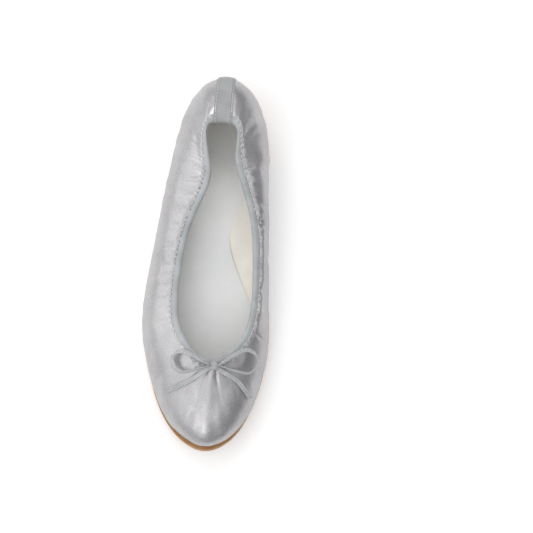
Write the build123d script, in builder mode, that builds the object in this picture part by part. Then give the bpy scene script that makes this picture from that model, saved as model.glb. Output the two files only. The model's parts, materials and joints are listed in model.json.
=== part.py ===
"""A right-foot ballet slipper: satin upper on a low flat sole, elastic bound topline, bow at the throat.

Frame: +Z up, toe towards -Y, heel towards +Y, medial (big-toe) side towards +X, in millimetres.
The ground is z = 0. The origin is on the ground, in the middle of the shoe's width and length. The shape
is laid out along a foot line and moved sideways into that frame when each piece is written.

The upper is described by wall stations set round the shoe. Each station is a vertical plane that holds
three points: the feather edge (where the wall leaves the sole), the widest point, and the rim of the
topline. Every layer of the upper is a loft through those planes, between two distances from the outer
face of the satin. Sole layers are curved slabs that follow the side profile of the sole.
"""

import os
from math import atan2, cos, radians, sin, tan
from typing import NamedTuple

from build123d import *

os.makedirs("parts", exist_ok=True)

# ---------------------------------------------------------------- sole side profile
TOE_SPRING = 11.0  # rise of the sole's underside at the toe tip
SPRING_START_Y = -72.0  # the underside leaves the ground here, towards the toe
TOE_Y = -124.0
HEEL_Y = 122.0
TREAD_END_Y = -20.0  # the underside leaves the ground here, towards the waist
BREAST_Y = 62.0  # front corners of the heel
OVERRUN = 6.0  # the side profile runs this far past toe and heel
HEEL_HEIGHT = 8.5
OUTSOLE_THICK = 4.0

# ---------------------------------------------------------------- layers, as thicknesses
SATIN = 0.7
COUNTER = 0.8
TOE_PUFF = 0.6
LINING = 0.6
TAPE = 0.6  # binding and backstay tape
BOARD = 1.8
CUSHION = 2.4
SOCK = 0.8
GAP = 0.12  # air between neighbouring sole pieces
LOFT_GAP = 0.3  # air between neighbouring layers of the upper
SATIN_IN = -SATIN
STIFFENER_OUT = SATIN_IN - LOFT_GAP
LINING_OUT = STIFFENER_OUT - COUNTER - LOFT_GAP
LINING_IN = LINING_OUT - LINING
TAPE_OUT = LOFT_GAP + TAPE
TAPE_IN = LINING_IN - LOFT_GAP - TAPE
CORE = LINING_IN / 2  # mid depth of the upper
BOARD_SHIFT = LINING_IN - 0.8
CUSHION_SHIFT = LINING_IN - 0.4
SOCK_SHIFT = LINING_IN + 0.4

# ---------------------------------------------------------------- topline, measured back from the rim
ELASTIC_WIDTH = 2.0
ELASTIC_THICK = 0.7
ELASTIC_ROOM = 0.45  # free channel on each side of the elastic
CHANNEL_BACK = TAPE + 0.2
ELASTIC_BACK = CHANNEL_BACK + ELASTIC_ROOM + ELASTIC_WIDTH / 2
FABRIC_BACK = ELASTIC_BACK + ELASTIC_WIDTH / 2 + ELASTIC_ROOM
BINDING_LEAF = 7.5
INNER_LEAF = 6.0
BACKSTAY_WIDTH = 12.0
BACKSTAY_FROM_Y = 70.0
HEEL_SEAM_X = 1.0
BACKSTAY_LOW = 0.05
CORE_LOW = 0.55  # v where the hollow inside the folded tape starts
SATIN_LOW = 0.03
LINING_LOW = 0.05

# ---------------------------------------------------------------- stiffeners and pads
PUFF_LOW = 0.12
PUFF_END_Y = -92.0
COUNTER_LOW = 0.12
COUNTER_BACK = 16.0
COUNTER_END_Y = 66.0
PAD_OUT = LINING_IN - LOFT_GAP
PAD_THICK = 1.2
PAD_LOW = 0.34
PAD_BACK = 14.0
PAD_FRONT_Y = -22.0
PAD_REAR_Y = 38.0
ARCH_X = 8.0  # deepest point of the sock's cut-out at the arch
ARCH_Y = 8.0
ARCH_RADIUS = 62.0

# ---------------------------------------------------------------- sole details
TREAD_X = -4.0  # middle of the tread
GROOVE_PITCH = 6.0
GROOVE_COUNT = 8
GROOVE_LENGTH = 54.0
GROOVE_WIDTH = 1.4
GROOVE_DEPTH = 0.9
HEEL_X = 1.0  # middle of the heel and shank
HEEL_WELT = 0.4
HEEL_GROOVE_Y = 98.0
HEEL_GROOVE_COUNT = 5
HEEL_GROOVE_LENGTH = 28.0
TOP_PIECE = 2.6
BREAST_HOLLOW = 18.0
BREAST_RADIUS = 36.0
SHANK_THICK = 1.0
SHANK_WIDTH = 12.0
SHANK_FRONT_Y = -22.0
SHANK_REAR_Y = 98.0
SLOT_ROOM = 0.15

# ---------------------------------------------------------------- bow
KNOT_BACK = 2.4  # knot centre, back from the rim at the throat
KNOT_SIDE = 1.2  # knot centre, to the medial side of the throat's middle
KNOT_WIDTH = 4.6
KNOT_LENGTH = 6.0
KNOT_THICK = 4.2
KNOT_ROUND = 1.2
KNOT_TOP_ROUND = 1.0
KNOT_LIFT = 0.4
TACK_RADIUS = 0.7
TACK_HEIGHT = 1.8
RUNNING = 0.05
BOW_TAPE = 0.9  # two thicknesses of tape, sewn
BOW_WIDTH = 2.8
ROOT_OUT = 4.2  # hinge line of each loop and tail, out from the knot's centre
ROOT_ROLL = 0.6  # radius of the rolled root
LOOP_HEIGHT = 3.4  # hinge line above the seat of the knot
TAIL_HEIGHT = 2.0
TAIL_SLANT = 0.75


class Loop(NamedTuple):
    """A loop of the bow: heading in plan, droop below the level, and size."""

    heading: float  # degrees from +X
    droop: float  # degrees
    length: float
    width: float


class Tail(NamedTuple):
    """A tail of the bow: heading and run in plan, and how far its middle and tip drop."""

    heading: float  # degrees from +X
    run: float
    middle_drop: float
    tip_drop: float


LOOPS = {
    "bow_loop_lateral": Loop(177.0, 13.0, 24.8, 14.0),
    "bow_loop_medial": Loop(9.0, 15.0, 24.8, 15.0),
}
TAILS = {
    "bow_tail_lateral": Tail(213.0, 31.0, 5.5, 13.0),
    "bow_tail_medial": Tail(-41.0, 28.5, 7.2, 17.0),
}

# ---------------------------------------------------------------- flex of the forefoot
FLEX_Y = -42.0
FLEX_Z = 10.5
FLEX_RANGE = 30.0  # degrees, toe up
REACH = 200.0  # larger than the shoe, for cutting bodies
CENTRE_SHIFT_X = 5.2  # puts the shoe's middle on the frame's origin
CENTRE_SHIFT_Y = 1.0


class Wall(NamedTuple):
    """One station of the upper: widest point and rim in plan, rim height, and how the wall stands."""

    widest: tuple  # x, y
    rim: tuple  # x, y
    rim_z: float
    tuck: float  # how far the feather edge lies inside the widest point
    rise: float  # height of the widest point above the feather edge
    welt: float  # how far the sole stands out from the feather edge


HEEL_CENTRE = Wall((1.5, 122.0), (0.5, 92.5), 55.0, 4.0, 20.0, 1.2)
TOE_CENTRE = Wall((-0.5, -120.8), (1.9, -62.6), 41.0, 2.0, 7.0, 5.4)
LATERAL = [
    Wall((-11.0, 117.5), (-7.5, 91.2), 55.0, 4.0, 20.0, 1.0),
    Wall((-22.5, 103.0), (-9.8, 83.0), 54.0, 4.0, 18.0, 1.0),
    Wall((-29.4, 82.0), (-7.8, 70.0), 51.0, 4.5, 16.0, 1.0),
    Wall((-34.5, 56.0), (-6.5, 54.0), 47.0, 6.0, 15.0, 1.0),
    Wall((-38.6, 31.0), (-14.5, 33.0), 42.0, 8.0, 14.0, 1.0),
    Wall((-43.0, 3.0), (-21.5, 7.0), 37.5, 7.0, 12.0, 1.0),
    Wall((-46.8, -24.0), (-23.9, -20.0), 35.0, 4.0, 10.0, 1.0),
    Wall((-46.8, -50.0), (-22.6, -38.0), 35.0, 2.8, 8.5, 1.8),
    Wall((-41.0, -75.0), (-17.5, -49.5), 37.0, 2.2, 7.5, 2.8),
    Wall((-31.5, -98.0), (-10.5, -57.5), 39.5, 2.0, 7.0, 4.0),
    Wall((-18.5, -113.5), (-4.5, -61.3), 40.8, 2.0, 7.0, 5.2),
]
MEDIAL = [
    Wall((14.0, 116.8), (8.3, 90.8), 55.0, 4.0, 20.0, 1.0),
    Wall((24.5, 102.0), (10.8, 83.0), 54.0, 4.0, 18.0, 1.0),
    Wall((30.4, 80.0), (10.4, 70.0), 51.0, 6.0, 17.0, 1.0),
    Wall((32.0, 54.0), (14.5, 54.5), 46.0, 12.0, 17.0, 1.0),
    Wall((33.4, 28.0), (22.8, 29.0), 41.0, 16.0, 16.0, 1.0),
    Wall((34.6, 0.0), (26.0, 3.0), 37.0, 13.0, 13.0, 1.0),
    Wall((36.3, -28.0), (26.4, -22.0), 35.0, 6.0, 10.5, 1.0),
    Wall((37.2, -52.0), (24.0, -39.0), 35.0, 3.0, 8.5, 1.0),
    Wall((34.2, -76.0), (18.8, -49.5), 37.0, 2.2, 7.5, 2.0),
    Wall((27.0, -98.0), (12.5, -57.0), 39.5, 2.0, 7.0, 3.0),
    Wall((16.0, -113.2), (7.2, -60.8), 40.8, 2.0, 7.0, 4.6),
]
RING = [HEEL_CENTRE, *LATERAL, TOE_CENTRE, *reversed(MEDIAL)]
REAR, FRONT = 1, -1
WALLS = {
    REAR: [*reversed(MEDIAL[:9]), HEEL_CENTRE, *LATERAL[:9]],
    FRONT: [*LATERAL[6:], TOE_CENTRE, *reversed(MEDIAL[6:])],
}
SEARCH_STEP = 0.002  # of v, when measuring back from the rim


def underside(y):
    """Height of the sole's underside above the ground."""
    if y < SPRING_START_Y:
        return TOE_SPRING * ((SPRING_START_Y - y) / (SPRING_START_Y - TOE_Y)) ** 1.8
    if y < TREAD_END_Y:
        return 0.0
    t = min(1.0, (y - TREAD_END_Y) / (BREAST_Y - TREAD_END_Y))
    return HEEL_HEIGHT * t * t * (3 - 2 * t)


def feather_z(y):
    """Height of the outsole's top face, where the upper stands."""
    return underside(y) + OUTSOLE_THICK


def outward(wall):
    """Unit direction in plan from the rim to the widest point."""
    across = Vector(*wall.widest) - Vector(*wall.rim)
    return across.normalized()


def feather(wall, shift=0.0):
    """Plan point on the feather edge, moved outwards by shift."""
    return Vector(*wall.widest) + outward(wall) * (shift - wall.tuck)


def station_plane(wall):
    """Vertical plane of a station: x runs outwards from the feather edge, y is height."""
    out = outward(wall)
    foot = feather(wall)
    return Plane(origin=(foot.X, foot.Y, 0), x_dir=out, z_dir=out.cross(Vector(0, 0, 1)))


def offset_curve(control, depth):
    """A cubic curve's control points moved to its right by depth, keeping the end tangents."""
    start, end = control[1] - control[0], control[3] - control[2]
    turn = atan2(start.X * end.Y - start.Y * end.X, start.dot(end))
    middle, chord = control[2] - control[1], control[3] - control[0]
    length = (start.length + middle.length + end.length + chord.length) / 2
    stretch = 1 + depth * turn / length
    first = control[0] + Vector(start.Y, -start.X).normalized() * depth
    last = control[3] + Vector(end.Y, -end.X).normalized() * depth
    return [first, first + start * stretch, last - end * stretch, last]


def split_curve(control, share):
    """The two halves of a cubic curve cut at a share of its parameter."""
    ladder = [control]
    while len(ladder[-1]) > 1:
        rung = ladder[-1]
        ladder.append([p + (q - p) * share for p, q in zip(rung, rung[1:])])
    return [rung[0] for rung in ladder], [rung[-1] for rung in reversed(ladder)]


def wall_halves(wall, depth):
    """Control points of a wall profile below and above its widest point."""
    foot_z = feather_z(feather(wall).Y)
    reach = (Vector(*wall.widest) - Vector(*wall.rim)).length
    foot = Vector(0, foot_z)
    wide = Vector(wall.tuck, foot_z + wall.rise)
    rim = Vector(wall.tuck - reach, wall.rim_z)
    climb = rim.Y - wide.Y
    flare = Vector(0.35 * wall.tuck, 0.3 * wall.rise)
    crest = Vector(0.45 * reach, -0.28 * climb)
    below = [foot, foot + flare, wide - Vector(0, 0.5 * wall.rise), wide]
    above = [wide, wide + Vector(0, 0.5 * climb), rim + crest, rim]
    return offset_curve(below, depth), offset_curve(above, depth)


def wall_run(wall, depth, low, high):
    """Control points of each cubic curve along a wall profile between two values of v.

    v runs from 0 at the feather edge, through 0.5 at the widest point, to 1 at the rim.
    """
    below, above = wall_halves(wall, depth)
    above = split_curve(above, 2 * high - 1)[0]
    if low < 0.5:
        return [split_curve(below, 2 * low)[1], above]
    return [split_curve(above, (2 * low - 1) / (2 * high - 1))[1]]


def wall_point(wall, v, depth):
    """Point on the upper half of a wall profile, depth outwards from the satin's face."""
    return split_curve(wall_halves(wall, depth)[1], 2 * v - 1)[0][-1]


def back_from_rim(wall, distance):
    """The v of the point this far back from the rim along the profile."""
    v, travelled = 1.0, 0.0
    here = wall_point(wall, v, 0)
    while travelled < distance:
        v -= SEARCH_STEP
        there = wall_point(wall, v, 0)
        travelled += (there - here).length
        here = there
    return v


def draw_run(run):
    """Draws a run of cubic curves and returns its two end points."""
    for control in run:
        Bezier(*control)
    return run[0][0], run[-1][-1]


def band_section(wall, inner, outer, low, high):
    """Section at a station between two depths and two values of v."""
    with BuildSketch(station_plane(wall)) as section:
        with BuildLine():
            outer_foot, outer_top = draw_run(wall_run(wall, outer, low, high))
            inner_foot, inner_top = draw_run(wall_run(wall, inner, low, high))
            Line(outer_top, inner_top)
            Line(inner_foot, outer_foot)
        make_face()
    return section.sketch


def wall_sketch(wall, inner, outer, low, back):
    """Section of one layer at a station, between two depths, ending back from the rim."""
    return band_section(wall, inner, outer, low, back_from_rim(wall, back))


def tape_sketch(wall, leaf):
    """Outline of the tape folded over the topline: outer leaf, round cap and inner leaf.

    A leaf of None runs the outer leaf down to the feather edge.
    """
    outer_low = BACKSTAY_LOW if leaf is None else back_from_rim(wall, leaf)
    inner_low = back_from_rim(wall, INNER_LEAF)
    shoulder = back_from_rim(wall, ELASTIC_BACK)
    with BuildSketch(station_plane(wall)) as section:
        with BuildLine():
            outer_foot, outer_top = draw_run(wall_run(wall, TAPE_OUT, outer_low, shoulder))
            inner_foot, inner_top = draw_run(wall_run(wall, TAPE_IN, inner_low, shoulder))
            core_foot, core_top = draw_run(wall_run(wall, CORE, outer_low, inner_low))
            ThreePointArc(outer_top, wall_point(wall, 1, CORE), inner_top)
            Line(inner_foot, core_top)
            Line(core_foot, outer_foot)
        make_face()
    return section.sketch


def elastic_sketch(wall):
    """Section of the flat elastic in the tape's channel."""
    low = back_from_rim(wall, ELASTIC_BACK + ELASTIC_WIDTH / 2)
    high = back_from_rim(wall, ELASTIC_BACK - ELASTIC_WIDTH / 2)
    return band_section(wall, CORE - ELASTIC_THICK / 2, CORE + ELASTIC_THICK / 2, low, high)


def knot_plane():
    """Plane on the throat's binding that the knot sits on; its normal leaves the vamp."""
    v = back_from_rim(TOE_CENTRE, KNOT_BACK)
    plane = station_plane(TOE_CENTRE)
    seat = plane.from_local_coords(wall_point(TOE_CENTRE, v, TAPE_OUT))
    above = plane.from_local_coords(wall_point(TOE_CENTRE, v, TAPE_OUT + 1))
    across = Vector(0, 0, 1).cross(outward(TOE_CENTRE))
    return Plane(origin=seat + across * KNOT_SIDE, x_dir=across, z_dir=above - seat)


def plan_plane(heading, height):
    """Level plane at the root of a loop or tail; its x runs along the heading."""
    seat = knot_plane()
    along = Vector(cos(radians(heading)), sin(radians(heading)), 0)
    return Plane(origin=seat.origin + seat.z_dir * height + along * ROOT_OUT, x_dir=along, z_dir=(0, 0, 1))


def side_plane(heading, height):
    """Upright plane at the root of a loop or tail; x runs along the heading and y is up."""
    level = plan_plane(heading, height)
    return Plane(origin=level.origin, x_dir=level.x_dir, z_dir=level.x_dir.cross(Vector(0, 0, 1)))


def loop_plane(loop):
    """Plane of a loop: x runs down to the tip by the loop's droop, z leaves the vamp."""
    level = plan_plane(loop.heading, LOOP_HEIGHT)
    droop = radians(loop.droop)
    along = level.x_dir * cos(droop) - Vector(0, 0, sin(droop))
    return Plane(origin=level.origin, x_dir=along, z_dir=level.x_dir * sin(droop) + Vector(0, 0, cos(droop)))


def tail_points(tail, rise):
    """Root, middle and tip of a tail's arc in its upright plane, raised by rise."""
    return (0, rise), (tail.run / 2, rise - tail.middle_drop), (tail.run, rise - tail.tip_drop)


def teardrop(loop, inset):
    """Outline of a loop, drawn in by inset: pointed at the root, widest past the middle."""
    half = loop.width / 2 - inset
    shoulder, belly = 0.4 * loop.length, 0.74 * loop.length
    near, far = 1.2 * inset, loop.length - inset
    Spline(
        (near, 0),
        (shoulder, 0.72 * half),
        (belly, half),
        (far, 0),
        (belly, -half),
        (shoulder, -0.72 * half),
        (near, 0),
    )


def edge_outline(shift):
    """Closed plan outline at a distance outside the feather edge."""
    with BuildLine() as line:
        Spline(*(feather(wall, shift) for wall in RING), periodic=True)
    return line.line


def side_edge(rise):
    """Draws the side profile at a height above the underside and returns its two end points."""
    toe_ys = (TOE_Y - OVERRUN, TOE_Y + 10, TOE_Y + 26, TOE_Y + 39, SPRING_START_Y)
    toe = [(y, underside(y) + rise) for y in toe_ys]
    waist_ys = [TREAD_END_Y + (BREAST_Y - TREAD_END_Y) * i / 4 for i in range(5)]
    waist = [(y, underside(y) + rise) for y in waist_ys]
    heel_end = (HEEL_Y + OVERRUN, HEEL_HEIGHT + rise)
    Spline(*toe, tangents=(Vector(*toe[1]) - Vector(*toe[0]), (1, 0)))
    Line(toe[-1], waist[0])
    Spline(*waist, tangents=((1, 0), (1, 0)))
    Line(waist[-1], heel_end)
    return toe[0], heel_end


def side_band(low, high):
    """Side profile, in the YZ plane, of a slab from low to high above the sole's underside."""
    with BuildSketch(Plane.YZ) as band:
        with BuildLine():
            bottom_toe, bottom_heel = side_edge(low)
            top_toe, top_heel = side_edge(high)
            Line(bottom_heel, top_heel)
            Line(bottom_toe, top_toe)
        make_face()
    return band.sketch


def flex_zone(side):
    """Outline, in the YZ plane, that holds the rear (side 1) or the forefoot (side -1)."""
    lean = REACH * tan(radians(FLEX_RANGE / 2))
    near = FLEX_Y + side * GAP
    with BuildSketch(Plane.YZ) as zone:
        with BuildLine():
            Polyline(
                (near, -REACH),
                (near, FLEX_Z),
                (near + side * lean, FLEX_Z + REACH),
                (side * 2 * REACH, FLEX_Z + REACH),
                (side * 2 * REACH, -REACH),
                close=True,
            )
        make_face()
    return zone.sketch


def keep_zone(side):
    """Inside a part block: keeps what lies on one side of the flex line."""
    extrude(flex_zone(side), amount=REACH, both=True, mode=Mode.INTERSECT)


def keep_plan(x_low, x_high, y_low, y_high):
    """Inside a part block: keeps what stands over a rectangle in plan."""
    with BuildSketch() as plan:
        with Locations(((x_low + x_high) / 2, (y_low + y_high) / 2)):
            Rectangle(x_high - x_low, y_high - y_low)
    extrude(plan.sketch, amount=REACH, mode=Mode.INTERSECT)


def write(block, name):
    """Moves a finished piece into the part's frame, labels it and writes it."""
    piece = block.part.moved(Location((CENTRE_SHIFT_X, CENTRE_SHIFT_Y, 0)))
    piece.label = name
    export_step(piece, f"parts/{name}.step")


def sole_layer(low, high, shift, side):
    """One half of a sole layer: a curved slab inside the feather outline moved by shift."""
    with BuildPart() as layer:
        extrude(side_band(low, high), amount=REACH, both=True)
        with BuildSketch():
            make_face(edge_outline(shift))
        extrude(amount=REACH, mode=Mode.INTERSECT)
        keep_zone(side)
    return layer


def upper_layer(side, inner, outer, low=SATIN_LOW, back=FABRIC_BACK):
    """One half of a layer of the upper, from a share of the wall's height up to the topline."""
    with BuildPart() as layer:
        loft([wall_sketch(wall, inner, outer, low, back) for wall in WALLS[side]])
        keep_zone(side)
    return layer


def bound_edge(side, leaf):
    """One half of the folded tape round the topline, hollow where it takes the upper and elastic."""
    core_low = BACKSTAY_LOW / 2 if leaf is None else CORE_LOW
    core_in, core_out = LINING_IN - LOFT_GAP, LOFT_GAP
    with BuildPart() as tape:
        loft([tape_sketch(wall, leaf) for wall in WALLS[side]])
        loft(
            [wall_sketch(wall, core_in, core_out, core_low, CHANNEL_BACK) for wall in WALLS[side]],
            mode=Mode.SUBTRACT,
        )
        keep_zone(side)
    return tape


# ================================================================ sole
def make_outsoles():
    """Rubber outsole in two halves, with grooves across the tread."""
    for side, name in ((FRONT, "outsole_forefoot"), (REAR, "outsole_rear")):
        with BuildPart() as outsole:
            extrude(side_band(0, OUTSOLE_THICK), amount=REACH, both=True)
            with BuildSketch():
                with BuildLine():
                    Spline(*(feather(wall, wall.welt) for wall in RING), periodic=True)
                make_face()
            extrude(amount=REACH, mode=Mode.INTERSECT)
            keep_zone(side)
            with Locations((TREAD_X, (SPRING_START_Y + TREAD_END_Y) / 2, 0)):
                with GridLocations(0, GROOVE_PITCH, 1, GROOVE_COUNT):
                    Box(GROOVE_LENGTH, GROOVE_WIDTH, 2 * GROOVE_DEPTH, mode=Mode.SUBTRACT)
        write(outsole, name)


def heel_block(low, high):
    """Heel between two heights: the rear of the sole outline, behind a hollow breast."""
    with BuildPart() as block:
        with BuildSketch(Plane.XY.offset(low)):
            make_face(edge_outline(HEEL_WELT))
            with Locations((0, BREAST_Y + REACH / 2)):
                Rectangle(REACH, REACH, mode=Mode.INTERSECT)
            with Locations((HEEL_X, BREAST_Y + BREAST_HOLLOW - BREAST_RADIUS)):
                Circle(BREAST_RADIUS, mode=Mode.SUBTRACT)
        extrude(amount=high - low)
    return block


def make_heel():
    """Low heel under the rear of the outsole: a lift, and the grooved rubber top piece it walks on."""
    write(heel_block(TOP_PIECE, HEEL_HEIGHT - GAP), "heel_lift")
    with BuildPart() as top_piece:
        add(heel_block(0, TOP_PIECE - GAP).part)
        with Locations((HEEL_X, HEEL_GROOVE_Y, 0)):
            with GridLocations(0, GROOVE_PITCH, 1, HEEL_GROOVE_COUNT):
                Box(HEEL_GROOVE_LENGTH, GROOVE_WIDTH, 2 * GROOVE_DEPTH, mode=Mode.SUBTRACT)
    write(top_piece, "heel_top_piece")


def shank_body(low, high, room):
    """Solid over the shank's plan, wider by room, between two heights above the underside."""
    length = SHANK_REAR_Y - SHANK_FRONT_Y
    with BuildPart() as body:
        extrude(side_band(low, high), amount=REACH, both=True)
        with BuildSketch():
            with Locations((HEEL_X, (SHANK_FRONT_Y + SHANK_REAR_Y) / 2)):
                SlotOverall(length + 2 * room, SHANK_WIDTH + 2 * room, rotation=90)
        extrude(amount=REACH, mode=Mode.INTERSECT)
    return body


def make_insole():
    """Board, cushion and sock, each cut at the flex line, and the shank under the rear board."""
    base = OUTSOLE_THICK + GAP
    cushion_low = base + BOARD + GAP
    sock_low = cushion_low + CUSHION + GAP
    shank_low = base + GAP
    shank_high = shank_low + SHANK_THICK
    write(shank_body(shank_low, shank_high, 0), "shank")

    for side, end in ((FRONT, "forefoot"), (REAR, "rear")):
        with BuildPart() as board:
            add(sole_layer(base, base + BOARD, BOARD_SHIFT, side).part)
            if side == REAR:
                add(shank_body(0, shank_high + GAP, SLOT_ROOM).part, mode=Mode.SUBTRACT)
        write(board, f"insole_board_{end}")
        write(sole_layer(cushion_low, cushion_low + CUSHION, CUSHION_SHIFT, side), f"cushion_{end}")
        with BuildPart() as sock:
            add(sole_layer(sock_low, sock_low + SOCK, SOCK_SHIFT, side).part)
            if side == REAR:
                with Locations((ARCH_X + ARCH_RADIUS, ARCH_Y, 0)):
                    Cylinder(ARCH_RADIUS, REACH, mode=Mode.SUBTRACT)
        write(sock, f"sock_{end}")


# ================================================================ upper
def make_vamp():
    """Front of the upper: satin, toe puff and lining."""
    write(upper_layer(FRONT, SATIN_IN, 0), "vamp")
    write(upper_layer(FRONT, LINING_IN, LINING_OUT, LINING_LOW), "vamp_lining")
    with BuildPart() as puff:
        add(upper_layer(FRONT, STIFFENER_OUT - TOE_PUFF, STIFFENER_OUT, PUFF_LOW).part)
        keep_plan(-REACH, REACH, -REACH, PUFF_END_Y)
    write(puff, "toe_puff")


def make_quarters():
    """Rear of the upper: two satin quarters that meet under the backstay, lining, counter and pad."""
    satin = upper_layer(REAR, SATIN_IN, 0)
    with BuildPart() as lateral:
        add(satin.part)
        keep_plan(-REACH, HEEL_SEAM_X - GAP, -REACH, REACH)
    write(lateral, "quarter_lateral")
    with BuildPart() as medial:
        add(satin.part)
        keep_plan(HEEL_SEAM_X + GAP, REACH, -REACH, REACH)
    write(medial, "quarter_medial")
    write(upper_layer(REAR, LINING_IN, LINING_OUT, LINING_LOW), "quarter_lining")
    with BuildPart() as counter:
        add(upper_layer(REAR, STIFFENER_OUT - COUNTER, STIFFENER_OUT, COUNTER_LOW, COUNTER_BACK).part)
        keep_plan(-REACH, REACH, COUNTER_END_Y, REACH)
    write(counter, "heel_counter")
    with BuildPart() as pad:
        loft([wall_sketch(wall, PAD_OUT - PAD_THICK, PAD_OUT, PAD_LOW, PAD_BACK) for wall in WALLS[REAR]])
        keep_plan(0, REACH, PAD_FRONT_Y, PAD_REAR_Y)
    write(pad, "arch_pad")


def heel_strip(extra):
    """Plan prism over the backstay, wider by extra on each side."""
    with BuildPart() as strip:
        with BuildSketch():
            with Locations((HEEL_SEAM_X, HEEL_Y)):
                Rectangle(BACKSTAY_WIDTH + 2 * extra, 2 * (HEEL_Y - BACKSTAY_FROM_Y))
        extrude(amount=REACH)
    return strip.part


def make_topline():
    """Folded tape round the topline, the elastic in its channel, and the backstay over the tape's ends."""
    write(bound_edge(FRONT, BINDING_LEAF), "binding_throat")
    collar = bound_edge(REAR, BINDING_LEAF)
    sides = (("binding_lateral", -REACH, HEEL_SEAM_X), ("binding_medial", HEEL_SEAM_X, REACH))
    for name, x_low, x_high in sides:
        with BuildPart() as half:
            add(collar.part)
            add(heel_strip(GAP), mode=Mode.SUBTRACT)
            keep_plan(x_low, x_high, -REACH, REACH)
        write(half, name)
    with BuildPart() as backstay:
        add(bound_edge(REAR, None).part)
        add(heel_strip(0), mode=Mode.INTERSECT)
    write(backstay, "backstay")
    for side, name in ((FRONT, "elastic_throat"), (REAR, "elastic_collar")):
        with BuildPart() as elastic:
            loft([elastic_sketch(wall) for wall in WALLS[side]])
            keep_zone(side)
        write(elastic, name)


# ================================================================ bow
def make_knot():
    """Wrapped knot of the bow, and the thread tack through the binding that it turns on."""
    seat = knot_plane()
    with BuildPart() as tack:
        with BuildSketch(seat.offset(LOFT_GAP)):
            Circle(TACK_RADIUS)
        extrude(amount=TACK_HEIGHT)
    write(tack, "bow_tack")
    with BuildPart() as knot:
        with BuildSketch(seat.offset(KNOT_LIFT)):
            RectangleRounded(KNOT_WIDTH, KNOT_LENGTH, KNOT_ROUND)
        extrude(amount=KNOT_THICK)
        fillet(knot.faces().sort_by(Axis.Z)[-1].edges(), KNOT_TOP_ROUND)
        with BuildSketch(seat.offset(KNOT_LIFT)):
            Circle(TACK_RADIUS + RUNNING)
        extrude(amount=TACK_HEIGHT + GAP, mode=Mode.SUBTRACT)
    write(knot, "bow_knot")


def make_loops():
    """Two loops of folded tape, standing on edge, each rolled at its root."""
    for name, loop in LOOPS.items():
        with BuildPart() as band:
            with BuildSketch(loop_plane(loop)):
                for inset, mode in ((0, Mode.ADD), (BOW_TAPE, Mode.SUBTRACT)):
                    with BuildLine():
                        teardrop(loop, inset)
                    make_face(mode=mode)
            extrude(amount=BOW_WIDTH / 2, both=True)
            with BuildSketch(side_plane(loop.heading, LOOP_HEIGHT)):
                Circle(ROOT_ROLL)
            extrude(amount=ROOT_ROLL, both=True)
        write(band, name)


def make_tails():
    """Two flat tails that follow the fall of the vamp, each rolled at its root and cut on a slant."""
    for name, tail in TAILS.items():
        with BuildPart() as strip:
            with BuildSketch(side_plane(tail.heading, TAIL_HEIGHT)):
                with BuildLine():
                    upper = ThreePointArc(*tail_points(tail, BOW_TAPE / 2))
                    lower = ThreePointArc(*tail_points(tail, -BOW_TAPE / 2))
                    Line(upper @ 0, lower @ 0)
                    Line(upper @ 1, lower @ 1)
                make_face()
                Circle(ROOT_ROLL)
            extrude(amount=BOW_WIDTH / 2, both=True)
            with BuildSketch(plan_plane(tail.heading, TAIL_HEIGHT)):
                with BuildLine():
                    Polyline(
                        (-2 * ROOT_ROLL, -BOW_WIDTH),
                        (tail.run, -BOW_WIDTH),
                        (tail.run - 2 * TAIL_SLANT, BOW_WIDTH),
                        (-2 * ROOT_ROLL, BOW_WIDTH),
                        close=True,
                    )
                make_face()
            extrude(amount=REACH, both=True, mode=Mode.INTERSECT)
        write(strip, name)


make_outsoles()
make_heel()
make_insole()
make_vamp()
make_quarters()
make_topline()
make_knot()
make_loops()
make_tails()
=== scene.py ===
"""Visual model of a satin ballet slipper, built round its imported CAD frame. Lengths are in millimetres
inside the shape functions and become metres when a mesh is made."""

import json
from math import cos, pi, radians, sin, tau

import bmesh
import bpy
import numpy as np
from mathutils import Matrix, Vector, noise


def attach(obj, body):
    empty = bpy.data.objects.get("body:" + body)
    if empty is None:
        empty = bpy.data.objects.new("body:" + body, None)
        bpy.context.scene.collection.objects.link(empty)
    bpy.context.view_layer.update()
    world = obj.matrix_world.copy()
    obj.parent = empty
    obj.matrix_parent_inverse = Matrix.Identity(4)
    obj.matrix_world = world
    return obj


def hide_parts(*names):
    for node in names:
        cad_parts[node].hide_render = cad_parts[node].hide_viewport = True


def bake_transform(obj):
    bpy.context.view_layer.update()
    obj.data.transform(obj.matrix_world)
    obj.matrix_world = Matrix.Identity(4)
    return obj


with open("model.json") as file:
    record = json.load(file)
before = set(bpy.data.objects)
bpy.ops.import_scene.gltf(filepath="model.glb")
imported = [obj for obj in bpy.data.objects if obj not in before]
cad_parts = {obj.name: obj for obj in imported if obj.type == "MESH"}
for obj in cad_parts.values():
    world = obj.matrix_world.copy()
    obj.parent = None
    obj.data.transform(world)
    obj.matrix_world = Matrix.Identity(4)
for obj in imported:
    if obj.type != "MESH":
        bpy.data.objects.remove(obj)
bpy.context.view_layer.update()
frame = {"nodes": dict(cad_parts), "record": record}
MM = 0.001

# ======== sole profile and wall stations
# Sizes are those of the CAD. SHIFT carries its drawing origin to the frame's.
SHIFT = np.array([5.2, 1.0, 0.0])
TOE_SPRING, SPRING_START_Y, TOE_Y = 11.0, -72.0, -124.0
TREAD_END_Y, BREAST_Y, HEEL_HEIGHT, OUTSOLE = -20.0, 62.0, 8.5, 4.0
GAP = 0.12
BOARD, CUSHION, SOCK = 1.8, 2.4, 0.8
SATIN, COUNTER, LINING, TAPE, AIR = 0.7, 0.8, 0.6, 0.6, 0.3
LINING_OUT = -(SATIN + AIR + COUNTER + AIR)
LINING_IN = LINING_OUT - LINING
TAPE_OUT, TAPE_IN = AIR + TAPE, LINING_IN - AIR - TAPE
CORE = LINING_IN / 2

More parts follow.
